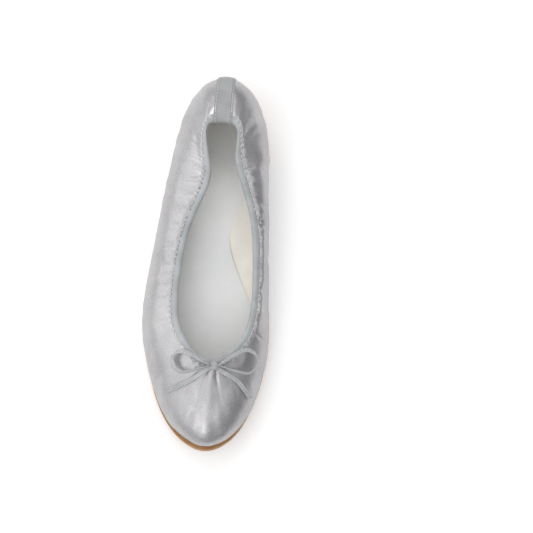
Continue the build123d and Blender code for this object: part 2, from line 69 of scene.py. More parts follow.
# widest x, y; rim x, y, z; tuck; rise; welt
HEEL_CENTRE = (1.5, 122.0, 0.5, 92.5, 55.0, 4.0, 20.0, 1.2)
TOE_CENTRE = (-0.5, -120.8, 1.9, -62.6, 41.0, 2.0, 7.0, 5.4)
LATERAL = [
    (-11.0, 117.5, -7.5, 91.2, 55.0, 4.0, 20.0, 1.0),
    (-22.5, 103.0, -9.8, 83.0, 54.0, 4.0, 18.0, 1.0),
    (-29.4, 82.0, -7.8, 70.0, 51.0, 4.5, 16.0, 1.0),
    (-34.5, 56.0, -6.5, 54.0, 47.0, 6.0, 15.0, 1.0),
    (-38.6, 31.0, -14.5, 33.0, 42.0, 8.0, 14.0, 1.0),
    (-43.0, 3.0, -21.5, 7.0, 37.5, 7.0, 12.0, 1.0),
    (-46.8, -24.0, -23.9, -20.0, 35.0, 4.0, 10.0, 1.0),
    (-46.8, -50.0, -22.6, -38.0, 35.0, 2.8, 8.5, 1.8),
    (-41.0, -75.0, -17.5, -49.5, 37.0, 2.2, 7.5, 2.8),
    (-31.5, -98.0, -10.5, -57.5, 39.5, 2.0, 7.0, 4.0),
    (-18.5, -113.5, -4.5, -61.3, 40.8, 2.0, 7.0, 5.2),
]
MEDIAL = [
    (14.0, 116.8, 8.3, 90.8, 55.0, 4.0, 20.0, 1.0),
    (24.5, 102.0, 10.8, 83.0, 54.0, 4.0, 18.0, 1.0),
    (30.4, 80.0, 10.4, 70.0, 51.0, 6.0, 17.0, 1.0),
    (32.0, 54.0, 14.5, 54.5, 46.0, 12.0, 17.0, 1.0),
    (33.4, 28.0, 22.8, 29.0, 41.0, 16.0, 16.0, 1.0),
    (34.6, 0.0, 26.0, 3.0, 37.0, 13.0, 13.0, 1.0),
    (36.3, -28.0, 26.4, -22.0, 35.0, 6.0, 10.5, 1.0),
    (37.2, -52.0, 24.0, -39.0, 35.0, 3.0, 8.5, 1.0),
    (34.2, -76.0, 18.8, -49.5, 37.0, 2.2, 7.5, 2.0),
    (27.0, -98.0, 12.5, -57.0, 39.5, 2.0, 7.0, 3.0),
    (16.0, -113.2, 7.2, -60.8, 40.8, 2.0, 7.0, 4.6),
]
RING = np.array([HEEL_CENTRE, *LATERAL, TOE_CENTRE, *reversed(MEDIAL)])


def underside(y):
    """Height of the sole's underside above the ground."""
    y = np.asarray(y, float)
    toe = TOE_SPRING * (np.clip(SPRING_START_Y - y, 0, None) / (SPRING_START_Y - TOE_Y)) ** 1.8
    t = np.clip((y - TREAD_END_Y) / (BREAST_Y - TREAD_END_Y), 0, 1)
    return toe + HEEL_HEIGHT * t * t * (3 - 2 * t)


class RingCurve:
    """Periodic cubic curves through the wall stations, by distance round the feather edge."""

    def __init__(self, table):
        step = np.linalg.norm(np.roll(table[:, :2], -1, axis=0) - table[:, :2], axis=1)
        self.knots = np.concatenate([[0], np.cumsum(step)])
        self.length = self.knots[-1]
        self.step, self.table = step, table
        count = len(table)
        system = np.zeros((count, count))
        slope = (np.roll(table, -1, axis=0) - table) / step[:, None]
        for i in range(count):
            system[i, (i - 1) % count] = step[i - 1]
            system[i, i] = 2 * (step[i - 1] + step[i])
            system[i, (i + 1) % count] = step[i]
        self.bend = np.linalg.solve(system, 6 * (slope - np.roll(slope, 1, axis=0)))

    def at(self, s):
        s = np.mod(s, self.length)
        i = np.clip(np.searchsorted(self.knots, s, side="right") - 1, 0, len(self.step) - 1)
        j = (i + 1) % len(self.step)
        h, t = self.step[i][:, None], (s - self.knots[i])[:, None]
        u = h - t
        y0, y1, m0, m1 = self.table[i], self.table[j], self.bend[i], self.bend[j]
        return (m0 * u**3 + m1 * t**3) / (6 * h) + (y0 / h - m0 * h / 6) * u + (y1 / h - m1 * h / 6) * t


CURVE = RingCurve(RING)
PERIMETER = CURVE.length
TOE_S = CURVE.knots[len(LATERAL) + 1]


class Wall:
    """The wall profiles at an array of places round the shoe."""

    def __init__(self, s):
        self.s = np.asarray(s, float)
        p = CURVE.at(self.s)
        wide, rim = p[:, 0:2], p[:, 2:4]
        across = wide - rim
        self.reach = np.linalg.norm(across, axis=1)
        self.out = across / self.reach[:, None]
        self.rim_z, self.tuck, self.rise, self.welt = p[:, 4], p[:, 5], p[:, 6], p[:, 7]
        self.foot = wide - self.out * self.tuck[:, None]
        self.foot_z = underside(self.foot[:, 1]) + OUTSOLE
        zero = np.zeros_like(self.s)
        foot, top = np.stack([zero, self.foot_z], 1), np.stack([self.tuck, self.foot_z + self.rise], 1)
        rim2 = np.stack([self.tuck - self.reach, self.rim_z], 1)
        climb = rim2[:, 1] - top[:, 1]
        flare = np.stack([0.35 * self.tuck, 0.3 * self.rise], 1)
        crest = np.stack([0.45 * self.reach, -0.28 * climb], 1)
        self.below = [foot, foot + flare, top - np.stack([zero, 0.5 * self.rise], 1), top]
        self.above = [top, top + np.stack([zero, 0.5 * climb], 1), rim2 + crest, rim2]
        grid = np.linspace(0, 1, 201)
        path = self.section(np.tile(grid, (len(self.s), 1)))[0]
        run = np.linalg.norm(np.diff(path, axis=1), axis=2)
        self.grid = grid
        self.run = np.concatenate([np.zeros((len(self.s), 1)), np.cumsum(run, axis=1)], axis=1)

    def section(self, v):
        """Points and outward normals in the station planes, for v of shape (stations, points)."""
        points, normals = [], []
        for control, t in ((self.below, np.clip(2 * v, 0, 1)), (self.above, np.clip(2 * v - 1, 0, 1))):
            c = [q[:, None, :] for q in control]
            t = t[..., None]
            r = 1 - t
            points.append(c[0] * r**3 + 3 * c[1] * r * r * t + 3 * c[2] * r * t * t + c[3] * t**3)
            d = (c[1] - c[0]) * r * r + (c[2] - c[1]) * 2 * r * t + (c[3] - c[2]) * t * t
            d = d / np.linalg.norm(d, axis=2, keepdims=True)
            normals.append(np.stack([d[..., 1], -d[..., 0]], 2))
        low = (v < 0.5)[..., None]
        return np.where(low, points[0], points[1]), np.where(low, normals[0], normals[1])

    def back(self, distance):
        """v this far back from the rim, for a number or a (stations, points) array."""
        columns = np.shape(distance)[-1] if np.ndim(distance) else 1
        from_sole = self.run[:, -1:] - np.broadcast_to(distance, (len(self.s), columns))
        return self.up(from_sole)

    def up(self, travel):
        """v this far up the wall from the sole, for a (stations, points) array."""
        return np.stack([np.interp(*row, self.grid) for row in zip(travel, self.run)])

    def points(self, v, depth=0.0):
        """Points in space, depth outwards from the wall."""
        p, n = self.section(v)
        q = p + n * np.broadcast_to(depth, v.shape)[..., None]
        plan = self.foot[:, None, :] + self.out[:, None, :] * q[..., 0:1]
        return np.concatenate([plan, q[..., 1:2]], axis=2) + SHIFT

    def normals(self, v):
        """Outward directions in space."""
        n = self.section(v)[1]
        return np.concatenate([self.out[:, None, :] * n[..., 0:1], n[..., 1:2]], axis=2)


# ======== mesh helpers
def new_object(name, verts, faces, smooth=True):
    mesh = bpy.data.meshes.new(name)
    mesh.from_pydata([tuple(p) for p in verts], [], faces)
    mesh.validate()
    mesh.update()
    mesh.polygons.foreach_set("use_smooth", [smooth] * len(mesh.polygons))
    obj = bpy.data.objects.new(name, mesh)
    bpy.context.scene.collection.objects.link(obj)
    return obj


def grid_faces(rows, columns, wrap_rows=False, wrap_columns=False, offset=0, flip=False):
    faces = []
    for i in range(rows if wrap_rows else rows - 1):
        low, high = offset + i * columns, offset + ((i + 1) % rows) * columns
        for j in range(columns if wrap_columns else columns - 1):
            k = (j + 1) % columns
            a, b, c, d = low + j, high + j, high + k, low + k
            faces.append((a, d, c, b) if flip else (a, b, c, d))
    return faces


def set_uv(obj, uv):
    """Gives each vertex a place in metres on the cloth, for weave and thread patterns."""
    layer = obj.data.uv_layers.new(name="cloth")
    index = np.zeros(len(obj.data.loops), np.int32)
    obj.data.loops.foreach_get("vertex_index", index)
    layer.data.foreach_set("uv", np.asarray(uv, np.float32)[index].ravel())


def grid_object(name, points, uv=None, wrap_rows=False, wrap_columns=False, flip=False):
    """Sheet from a (rows, columns, 3) array in millimetres."""
    rows, columns = points.shape[:2]
    faces = grid_faces(rows, columns, wrap_rows, wrap_columns, flip=flip)
    obj = new_object(name, points.reshape(-1, 3) * MM, faces)
    if uv is not None:
        set_uv(obj, uv.reshape(-1, 2) * MM)
    return obj


def cloth_uv(along, across):
    """Places on the cloth: one distance along for each row, and distances across for each point or column."""
    shape = (len(along), np.shape(across)[-1])
    return np.stack([np.broadcast_to(along[:, None], shape), np.broadcast_to(across, shape)], axis=2)


def unit(vectors):
    return vectors / np.linalg.norm(vectors, axis=-1, keepdims=True)


def square_to(direction, tangent):
    """The direction made square to a tangent, at length 1."""
    share = (direction * tangent).sum(axis=1) / (tangent**2).sum(axis=1)
    return unit(direction - tangent * share[:, None])


def distance_run(points):
    """Distance along a line of points, from its first."""
    return np.concatenate([[0], np.cumsum(np.linalg.norm(np.diff(points, axis=0), axis=1))])


def resample(points, run, places):
    """Points of a line at other places along its run."""
    return np.stack([np.interp(places, run, points[:, k]) for k in range(points.shape[1])], axis=1)


def recalc(obj, merge=0.0, close=False):
    """Turns all faces outwards, after merging near vertices or closing open ends where asked."""
    bm = bmesh.new()
    bm.from_mesh(obj.data)
    if merge:
        bmesh.ops.remove_doubles(bm, verts=bm.verts, dist=merge)
    if close:
        bmesh.ops.holes_fill(bm, edges=[e for e in bm.edges if e.is_boundary])
    bmesh.ops.recalc_face_normals(bm, faces=bm.faces)
    bm.to_mesh(obj.data)
    bm.free()


def apply_modifiers(obj):
    """Replaces the mesh by its evaluated form."""
    graph = bpy.context.evaluated_depsgraph_get()
    mesh = bpy.data.meshes.new_from_object(obj.evaluated_get(graph))
    obj.modifiers.clear()
    obj.data = mesh


def thicken(obj, thickness, offset=-1.0, bevel=0.0, segments=2):
    """Turns a sheet into a closed piece of cloth, rubber or board."""
    solid = obj.modifiers.new("solid", "SOLIDIFY")
    solid.thickness, solid.offset, solid.use_even_offset = thickness * MM, offset, False
    if bevel:
        edge = obj.modifiers.new("edge", "BEVEL")
        edge.width, edge.segments = bevel * MM, segments
        edge.limit_method, edge.angle_limit = "ANGLE", radians(50)
    apply_modifiers(obj)
    obj.data.polygons.foreach_set("use_smooth", [True] * len(obj.data.polygons))


def assign(obj, material):
    """Gives a piece one of the MATERIALS."""
    obj.data.materials.clear()
    obj.data.materials.append(MATERIALS[material])


def finish(obj, material, *cad_nodes):
    """Material and CAD nodes of a continuous piece that runs over the ball of the foot; the piece is not
    bent.
    """
    assign(obj, material)
    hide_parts(*cad_nodes)
    across_flex(obj)


# ======== materials
BLACK, WHITE = (0, 0, 0, 1), (1, 1, 1, 1)


def linear(colour):
    """Linear colour with alpha from an sRGB colour of 0 to 255."""
    shares = [c / 255 for c in colour]
    return tuple(c / 12.92 if c <= 0.04045 else ((c + 0.055) / 1.055) ** 2.4 for c in shares) + (1.0,)


class Shader:
    """A node material built from a Principled shader."""

    def __init__(self, name, **inputs):
        self.material = bpy.data.materials.new(name)
        self.material.use_nodes = True
        self.tree = self.material.node_tree
        self.bsdf = self.tree.nodes["Principled BSDF"]
        for key, value in inputs.items():
            self.bsdf.inputs[key.replace("_", " ")].default_value = value
        self.height = None

    def node(self, kind, **settings):
        made = self.tree.nodes.new(kind)
        for key, value in settings.items():
            if hasattr(made, key):
                setattr(made, key, value)
            else:
                made.inputs[key.replace("_", " ")].default_value = value
        return made

    def link(self, a, b):
        self.tree.links.new(a, b)

    def mapped(self, output, scale):
        coords = self.node("ShaderNodeTexCoord")
        mapping = self.node("ShaderNodeMapping")
        mapping.inputs["Scale"].default_value = scale
        self.link(coords.outputs[output], mapping.inputs["Vector"])
        return mapping.outputs["Vector"]

    def uv(self, scale=(1, 1, 1)):
        return self.mapped("UV", scale)

    def place(self, scale=(1, 1, 1)):
        return self.mapped("Object", scale)

    def noise(self, vector, scale, detail=3.0, roughness=0.5):
        n = self.node("ShaderNodeTexNoise", Scale=scale, Detail=detail, Roughness=roughness)
        self.link(vector, n.inputs["Vector"])
        return n.outputs["Fac"]

    def wave(self, vector, scale, direction="X", distortion=0.0):
        n = self.node("ShaderNodeTexWave", Scale=scale, Distortion=distortion)
        n.wave_type, n.bands_direction = "BANDS", direction
        self.link(vector, n.inputs["Vector"])
        return n.outputs["Fac"]

    def math(self, operation, a, b=None):
        n = self.node("ShaderNodeMath", operation=operation)
        for socket, value in zip(n.inputs, (a, b)):
            if value is None:
                continue
            if isinstance(value, (int, float)):
                socket.default_value = value
            else:
                self.link(value, socket)
        return n.outputs[0]

    def ramp(self, factor, stops):
        n = self.node("ShaderNodeValToRGB")
        ramp = n.color_ramp
        while len(ramp.elements) < len(stops):
            ramp.elements.new(0.5)
        for element, (position, colour) in zip(ramp.elements, stops):
            element.position, element.color = position, colour
        self.link(factor, n.inputs["Fac"])
        return n.outputs["Color"]

    def shades(self, factor, dark, light, low=0.3, high=0.7):
        """Ramp between two sRGB colours."""
        return self.ramp(factor, [(low, linear(dark)), (high, linear(light))])

    def paint(self, colour):
        self.link(colour, self.bsdf.inputs["Base Color"])

    def mix(self, factor, a, b):
        n = self.node("ShaderNodeMix", data_type="RGBA")
        for socket, value in ((n.inputs[0], factor), (n.inputs[6], a), (n.inputs[7], b)):
            if isinstance(value, (int, float, tuple)):
                socket.default_value = value
            else:
                self.link(value, socket)
        return n.outputs[2]

    def bump(self, height, strength, distance_mm):
        n = self.node("ShaderNodeBump", Strength=strength, Distance=distance_mm * MM)
        self.link(height, n.inputs["Height"])
        if self.height is not None:
            self.link(self.height, n.inputs["Normal"])
        self.height = n.outputs["Normal"]
        self.link(self.height, self.bsdf.inputs["Normal"])


def satin_material():
    """Duchess satin: fine weft ribs, long floats that spread the highlight, and uneven slubs."""
    m = Shader("satin", Roughness=0.36, Metallic=0.8)
    m.bsdf.inputs["Anisotropic"].default_value = 0.45
    m.bsdf.inputs["Sheen Weight"].default_value = 0.15
    m.bsdf.inputs["Sheen Roughness"].default_value = 0.4
    tangent = m.node("ShaderNodeTangent", direction_type="UV_MAP")
    tangent.uv_map = "cloth"
    m.link(tangent.outputs[0], m.bsdf.inputs["Tangent"])
    mottle = m.noise(m.place(), 48.0, 5.0, 0.55)
    slub = m.noise(m.uv((0.45, 1, 1)), 1300.0, 4.0, 0.65)
    grain = m.noise(m.uv((0.8, 1, 1)), 2600.0, 2.0, 0.6)
    colour = m.shades(mottle, (184, 182, 184), (209, 207, 208))
    colour = m.mix(0.24, colour, m.shades(slub, (128, 128, 132), (240, 239, 240), 0.36, 0.64))
    colour = m.mix(0.16, colour, m.shades(grain, (138, 138, 141), (234, 233, 235), 0.36, 0.64))
    m.paint(colour)
    m.link(m.math("ADD", m.math("MULTIPLY", slub, 0.16), 0.27), m.bsdf.inputs["Roughness"])
    m.bump(m.wave(m.uv(), 1600.0, "Y", 0.6), 0.12, 0.05)
    m.bump(slub, 0.30, 0.16)
    m.bump(m.noise(m.place(), 110.0, 3.0, 0.5), 0.45, 1.0)
    return m.material


def tape_material(name, dark, light, rough=0.62, rib=620.0):
    """Matte ribbed tape: cross ribs, soft fuzz and slight shade changes."""
    m = Shader(name, Roughness=rough)
    m.bsdf.inputs["Sheen Weight"].default_value = 0.35
    m.bsdf.inputs["Sheen Roughness"].default_value = 0.5
    cloth = m.uv()
    ribs = m.wave(cloth, rib, "X", 0.4)
    warp = m.wave(cloth, rib * 0.9, "Y", 0.5)
    fuzz = m.noise(m.place(), 1400.0, 3.0, 0.6)
    shade = m.noise(m.place(), 90.0, 3.0, 0.5)
    colour = m.shades(shade, dark, light)
    m.paint(m.mix(m.math("MULTIPLY", ribs, 0.16), colour, linear([c * 0.72 for c in dark])))
    m.bump(m.math("ADD", ribs, m.math("MULTIPLY", warp, 0.5)), 0.35, 0.08)
    m.bump(fuzz, 0.25, 0.08)
    return m.material


def cloth_material(name, dark, light, rough=0.85):
    """Plain-weave cotton with nap."""
    m = Shader(name, Roughness=rough)
    m.bsdf.inputs["Sheen Weight"].default_value = 0.3
    cloth = m.uv()
    weave = m.math("ADD", m.wave(cloth, 520.0, "X", 0.8), m.wave(cloth, 520.0, "Y", 0.8))
    m.paint(m.shades(m.noise(m.place(), 70.0, 4.0, 0.6), dark, light))
    m.bump(weave, 0.25, 0.06)
    m.bump(m.noise(m.place(), 900.0, 3.0, 0.6), 0.2, 0.1)
    return m.material


def leather_material(name, dark, light, rough=0.5):
    """Smooth coated leather with a fine pore grain and soft foot marks."""
    m = Shader(name, Roughness=rough)
    place = m.place()
    pores = m.node("ShaderNodeTexVoronoi", Scale=1100.0)
    m.link(place, pores.inputs["Vector"])
    broad = m.noise(place, 28.0, 4.0, 0.55)
    m.paint(m.shades(broad, dark, light))
    m.link(m.math("ADD", m.math("MULTIPLY", broad, 0.12), rough - 0.06), m.bsdf.inputs["Roughness"])
    m.bump(pores.outputs["Distance"], 0.15, 0.05)
    m.bump(m.noise(place, 120.0, 3.0, 0.5), 0.1, 0.4)
    return m.material


def rubber_material(name, dark, light, rough=0.6):
    """Moulded crepe-like rubber with flecks, and lighter colour on its sharp convex edges."""
    m = Shader(name, Roughness=rough)
    place = m.place()
    colour = m.shades(m.noise(place, 240.0, 4.0, 0.6), dark, light, 0.35, 0.65)
    fleck = m.ramp(m.noise(place, 1500.0, 2.0, 0.5), [(0.62, BLACK), (0.7, WHITE)])
    colour = m.mix(m.math("MULTIPLY", fleck, 0.25), colour, linear([c * 0.8 for c in dark]))
    edge = m.node("ShaderNodeNewGeometry").outputs["Pointiness"]
    # lighter colour on sharp convex edges, found from the mesh's pointiness
    lighter_edges = m.ramp(edge, [(0.5, BLACK), (0.58, WHITE)])
    m.paint(m.mix(m.math("MULTIPLY", lighter_edges, 0.35), colour, linear([min(255, c * 1.15) for c in light])))
    m.bump(m.noise(place, 800.0, 4.0, 0.65), 0.35, 0.15)
    return m.material


def foam_material(name, dark, light):
    """Open-celled foam."""
    m = Shader(name, Roughness=0.9)
    place = m.place()
    cells = m.node("ShaderNodeTexVoronoi", Scale=1600.0)
    m.link(place, cells.inputs["Vector"])
    m.paint(m.shades(m.noise(place, 200.0), dark, light))
    m.bump(cells.outputs["Distance"], 0.5, 0.15)
    return m.material


def board_material(name, dark, light):
    """Pressed fibre board, its fibres along the shoe."""
    m = Shader(name, Roughness=0.8)
    fibres = m.noise(m.place((1, 0.15, 1)), 900.0, 4.0, 0.7)
    m.paint(m.shades(fibres, dark, light))
    m.bump(fibres, 0.3, 0.1)
    return m.material


def steel_material(name):
    """Steel brushed along the shoe."""
    m = Shader(name, Roughness=0.35, Metallic=1.0)
    brushed = m.noise(m.place((1, 0.04, 1)), 2500.0, 3.0, 0.6)
    m.paint(m.shades(brushed, (140, 142, 146), (185, 187, 190)))
    m.bump(brushed, 0.15, 0.03)
    return m.material


def thread_material(name, dark, light):
    """Twisted sewing thread."""
    m = Shader(name, Roughness=0.5)
    m.bsdf.inputs["Sheen Weight"].default_value = 0.4
    twist = m.noise(m.place(), 2600.0, 2.0, 0.5)
    m.paint(m.shades(twist, dark, light))
    m.bump(twist, 0.4, 0.08)
    return m.material


MATERIALS = {
    "satin": satin_material(),
    "binding": tape_material("binding", (166, 169, 171), (190, 193, 195)),
    "bow_tape": tape_material("bow_tape", (166, 168, 170), (196, 198, 200)),
    "backstay_tape": tape_material("backstay_tape", (158, 159, 160), (176, 177, 178), 0.7, 700.0),
    "lining": cloth_material("lining", (234, 230, 221), (245, 242, 235)),
    "stiffener": cloth_material("stiffener", (205, 196, 176), (222, 214, 196)),
    "elastic": cloth_material("elastic", (225, 224, 220), (240, 239, 236), 0.7),
    "sock": leather_material("sock", (222, 223, 224), (234, 235, 235)),
    "cushion": foam_material("cushion", (214, 203, 176), (230, 221, 198)),
    "board": board_material("board", (140, 112, 80), (172, 142, 104)),
    "shank": steel_material("shank"),
    "outsole": rubber_material("outsole", (168, 124, 80), (190, 146, 100)),
    "thread": thread_material("thread", (205, 208, 209), (232, 234, 235)),
}


def across_flex(obj):
    """Bakes a continuous piece's transform into its mesh; it does not bend it over the ball of the foot."""
    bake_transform(obj)


# ======== satin upper
SATIN_ROWS, SATIN_COLUMNS = 560, 40
# distances back from the rim: where the satin ends under the tape, and the tape's own edge
SATIN_BACK, LEAF_EDGE = 4.4, 7.0


def zone(s, centre, width):
    """Smooth bump round the ring, wrapped at the heel."""
    d = np.abs(np.mod(s - centre + PERIMETER / 2, PERIMETER) - PERIMETER / 2)
    return np.exp(-((d / width) ** 2))


def side_s(y, lateral):
    """Place round the ring where the lateral or medial wall is at y."""
    s = np.linspace(0, TOE_S, 400) if lateral else np.linspace(TOE_S, PERIMETER, 400)
    ys = CURVE.at(s)[:, 1]
    order = np.argsort(ys)
    return float(np.interp(y, ys[order], s[order]))


# each pull of the elastic: strength, y, on the lateral side, width
LATERAL_PULLS = [(1.0, 50, True, 34), (0.85, 5, True, 34), (0.35, -40, True, 26)]
MEDIAL_PULLS = [(0.9, 48, False, 34), (1.0, 4, False, 36), (0.45, -40, False, 26)]
HEEL_PULLS = [(0.4, 95, True, 22), (0.4, 95, False, 22)]
LEAST_PULL, MOST_PULL = 0.06, 1.1


def gather_strength(s):
    """How strongly the elastic draws the satin in: waist and collar strong, vamp smooth."""
    pull = 0
    for group in (LATERAL_PULLS, MEDIAL_PULLS, HEEL_PULLS):
        pull = pull + sum(force * zone(s, side_s(y, lateral), width) for force, y, lateral, width in group)
    return np.clip(pull + LEAST_PULL, 0, MOST_PULL)


# pitch, height and noise layer of the ridges, and the length they drift over
RIDGES = [(4.2, 0.45, 1.7), (9.5, 0.8, 9.1)]
RIDGE_DRIFT, RIDGE_FADE, RIDGE_SHARPNESS = 30.0, 7.0, 2.4


def ridge(place, drift, layer):
    return 1 - RIDGE_SHARPNESS * abs(noise.noise(Vector((place, drift, layer))))


def fine_ridges(s, distance):
    """Narrow ridges of cloth that run down from the topline stitching, where the elastic draws it in."""
    near = np.exp(-np.clip(distance - LEAF_EDGE, 0, None) / RIDGE_FADE)
    strength = gather_strength(s)[:, None]
    out = np.zeros_like(distance)
    for i, place in enumerate(s):
        for j in range(distance.shape[1]):
            drift = distance[i, j] / RIDGE_DRIFT
            out[i, j] = sum(height * ridge(place / pitch, drift, layer) for pitch, height, layer in RIDGES)
    return out * near * strength


# offset from the toe, width and depth of each crease from the knot
VAMP_PLEATS = [(-7.0, 2.2, 0.7), (6.5, 2.4, 0.75), (-17.0, 3.0, 0.6), (18.0, 3.2, 0.65)]
VAMP_SEAM_Y = -53


def vamp_shape(s, distance):
    """Ridge down the middle of the vamp, creases that fan from the knot, and the medial seam at the ball."""
    from_rim = np.clip(distance - LEAF_EDGE, 0, None)
    middle = zone(s, TOE_S - 1.0, 5.5)[:, None] * np.exp(-from_rim / 30.0)
    pleats = np.zeros_like(distance)
    for offset, width, depth in VAMP_PLEATS:
        centre = TOE_S + offset * (1 + from_rim / 28.0)
        pleats += depth * np.exp(-(((s[:, None] - centre) / width) ** 2)) * np.exp(-from_rim / 14.0)
    seam = zone(s, side_s(VAMP_SEAM_Y, False), 1.1)[:, None]
    return middle - pleats - 0.5 * seam


def satin_grid(rows, columns):
    """Wall, v, distance up from the sole and distance back from the rim of a satin sheet."""
    wall = Wall(np.linspace(0, PERIMETER, rows, endpoint=False))
    travel = (wall.run[:, -1:] - SATIN_BACK) * (np.linspace(0, 1, columns) ** 0.9)[None, :]
    return wall, wall.up(travel), travel, wall.run[:, -1:] - travel


DRAPE_ROWS, DRAPE_COLUMNS, DRAPE_SCALE, DRAPE_FRAMES = 320, 26, 10.0, 16
SPARE_CLOTH, PINNED_BELOW = 0.26, 0.08
SPARE_MIDDLE, SPARE_SPREAD = 15.0, 22.0
RELIEF_IN, RELIEF_OUT = -0.9, 3.2


def drape():
    """Cloth simulation of the satin, held along sole and topline, with spare cloth that buckles outwards.

    Returns the outward relief in millimetres on the simulation's grid.
    """
    wall, v, travel, distance = satin_grid(DRAPE_ROWS, DRAPE_COLUMNS)
    start, normals = wall.points(v), wall.normals(v)
    hold = np.clip(travel / 8.0, 0, 1) * np.clip((distance - SATIN_BACK) / 3.0, 0, 1)
    seed = [[noise.noise(Vector((a / 6.0, d / 18.0, 5.5))) for d in row] for a, row in zip(wall.s, distance)]
    uneven = start + normals * (0.5 * np.array(seed) * hold)[..., None]
    sheet = grid_object("drape", uneven * DRAPE_SCALE, wrap_rows=True)
    near = np.exp(-(((distance - SPARE_MIDDLE) / SPARE_SPREAD) ** 2))
    spare = gather_strength(wall.s)[:, None] * near * hold
    pin_group, spare_group = sheet.vertex_groups.new(name="pin"), sheet.vertex_groups.new(name="spare")
    for index, (held, extra) in enumerate(zip(hold.ravel(), spare.ravel())):
        pin_group.add([index], float(held < PINNED_BELOW), "REPLACE")
        spare_group.add([index], float(np.clip(extra, 0, 1)), "REPLACE")
    cloth = sheet.modifiers.new("cloth", "CLOTH")
    cloth.settings.quality = 6
    cloth.settings.tension_stiffness = cloth.settings.compression_stiffness = 18
    cloth.settings.shear_stiffness = 6
    cloth.settings.bending_stiffness = 0.7
    cloth.settings.vertex_group_mass = "pin"
    cloth.settings.vertex_group_shrink = "spare"
    cloth.settings.shrink_min, cloth.settings.shrink_max = 0.0, -SPARE_CLOTH
    cloth.settings.use_pressure = True
    cloth.settings.uniform_pressure_force = 1.0
    cloth.settings.effector_weights.gravity = 0.0
    cloth.point_cache.frame_end = DRAPE_FRAMES
    for frame_number in range(1, DRAPE_FRAMES + 1):
        bpy.context.scene.frame_set(frame_number)
    draped = sheet.evaluated_get(bpy.context.evaluated_depsgraph_get()).data
    place = np.zeros(len(draped.vertices) * 3)
    draped.vertices.foreach_get("co", place)
    bpy.context.scene.frame_set(1)
    bpy.data.objects.remove(sheet, do_unlink=True)
    moved = place.reshape(start.shape) / (MM * DRAPE_SCALE) - start
    relief = np.clip((moved * normals).sum(axis=2), RELIEF_IN, RELIEF_OUT)
    return relief * np.clip(hold * 1.5, 0, 1)


def spread(relief, rows, columns):
    """A relief grid resampled to more rows and columns, wrapped round the heel."""
    wrapped = np.concatenate([relief, relief[:1]])
    old_rows, new_rows = np.linspace(0, 1, len(wrapped)), np.linspace(0, 1, rows, endpoint=False)
    tall = np.stack([np.interp(new_rows, old_rows, wrapped[:, j]) for j in range(relief.shape[1])], axis=1)
    old_columns, new_columns = np.linspace(0, 1, relief.shape[1]), np.linspace(0, 1, columns)
    return np.stack([np.interp(new_columns, old_columns, row) for row in tall])


def build_satin():
    wall, v, travel, distance = satin_grid(SATIN_ROWS, SATIN_COLUMNS)
    hold = np.clip(travel / 9.0, 0, 1) ** 1.3 * np.clip((distance - SATIN_BACK) / 2.2, 0, 1)
    lift = (fine_ridges(wall.s, distance) + vamp_shape(wall.s, distance)) * hold
    lift = lift + spread(drape(), SATIN_ROWS, SATIN_COLUMNS)
    points = wall.points(v, lift)
    satin = grid_object("satin_upper", points, cloth_uv(wall.s, travel), wrap_rows=True, flip=True)
    thicken(satin, SATIN)
    finish(satin, "satin", "vamp", "quarter_lateral", "quarter_medial")


build_satin()

# ======== lining
LINING_ROWS, LINING_COLUMNS, LINING_BACK = 320, 26, 3.6


def build_lining():
    """Lining from just above the sole to inside the topline tape."""
    wall = Wall(np.linspace(0, PERIMETER, LINING_ROWS, endpoint=False))
    travel = (wall.run[:, -1:] - LINING_BACK) * np.linspace(0.04, 1, LINING_COLUMNS)[None, :]
    points = wall.points(wall.up(travel), LINING_IN)
    lining = grid_object("lining", points, cloth_uv(wall.s, travel), wrap_rows=True, flip=True)
    thicken(lining, LINING, 1.0)
    finish(lining, "lining", "vamp_lining", "quarter_lining")


build_lining()

# ======== topline tape
BINDING_ROWS = 1000
HEEL_LEAF, LEAF, INNER_LEAF, SHOULDER = 4.6, 7.5, 6.0, 2.6
# the tape stops this far from the middle of the heel, under the backstay
HEEL_HALF = 5.0
# each line of stitches: distance back from the rim, slant
STITCH_PITCH, STITCH_LINES = 3.1, {"upper": (4.5, 0.22), "lower": (6.7, -0.22)}


def tape_section(wall, leaf, inner_leaf, swell, extra, columns):
    """Outer face of a folded tape: (rows, columns, 3) points and the distance across the tape."""
    distance = SHOULDER + (leaf - SHOULDER)[:, None] * np.linspace(1, 0, columns)[None, :]
    first = wall.points(wall.back(distance), TAPE_OUT + extra + swell(wall.s[:, None], distance))
    fold = wall.back(SHOULDER)
    centre = wall.points(fold, CORE)
    out = wall.normals(fold)
    tip = wall.points(np.ones_like(fold), CORE) - centre
    half = (TAPE_OUT - TAPE_IN) / 2 + extra
    turn = np.linspace(0, pi, 13)[1:-1][None, :, None]
    reach = 0.98 + extra / SHOULDER
    cap = centre + out * (np.cos(turn) * half) + tip * (np.sin(turn) * reach)
    back = SHOULDER + (inner_leaf - SHOULDER)[:, None] * np.linspace(0, 1, 8)[None, :]
    last = wall.points(wall.back(back), TAPE_IN - extra)
    points = np.concatenate([first, cap, last], axis=1)
    step = np.linalg.norm(np.diff(points, axis=1), axis=2)
    across = np.concatenate([np.zeros((len(wall.s), 1)), np.cumsum(step, axis=1)], axis=1)
    return points, across


